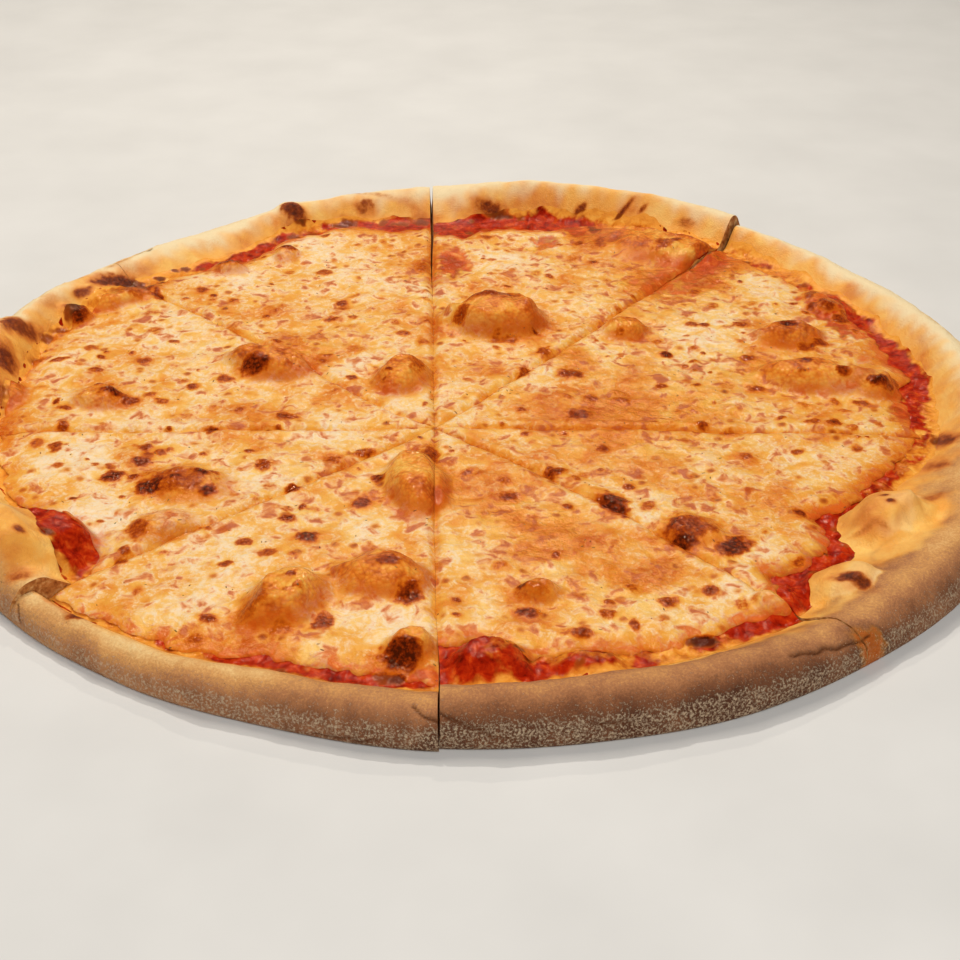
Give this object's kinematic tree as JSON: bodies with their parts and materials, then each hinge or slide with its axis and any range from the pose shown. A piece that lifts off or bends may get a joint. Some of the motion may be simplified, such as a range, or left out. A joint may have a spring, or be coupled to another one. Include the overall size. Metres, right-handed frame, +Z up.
{
  "type": "cheese pizza",
  "caption": "Large round cheese pizza with a raised crust rim, tomato sauce and browned melted cheese, cut into slices that still lie together.",
  "frame": {"origin": "middle of the pizza's box, on the plane it rests on", "axes": "+Z up, +X to the right and +Y to the back as the pizza is seen from its front"},
  "size_m": [0.4588, 0.4552, 0.0273],
  "materials": {
    "crust": "baked wheat dough, dry and floury outside, golden where oil soaked in",
    "sauce": "cooked tomato sauce, moist",
    "cheese": "melted mozzarella, oily, with browned blisters"
  },
  "bodies": {
    "root": {"slice_1_crust": "crust", "slice_1_sauce": "sauce", "slice_1_cheese": "cheese", "slice_2_crust": "crust", "slice_2_sauce": "sauce", "slice_2_cheese": "cheese", "slice_3_crust": "crust", "slice_3_sauce": "sauce", "slice_3_cheese": "cheese", "slice_4_crust": "crust", "slice_4_sauce": "sauce", "slice_4_cheese": "cheese", "slice_5_crust": "crust", "slice_5_sauce": "sauce", "slice_5_cheese": "cheese", "slice_6_crust": "crust", "slice_6_sauce": "sauce", "slice_6_cheese": "cheese", "slice_7_crust": "crust", "slice_7_sauce": "sauce", "slice_7_cheese": "cheese", "slice_8_crust": "crust", "slice_8_sauce": "sauce", "slice_8_cheese": "cheese"}
  },
  "joints": []
}
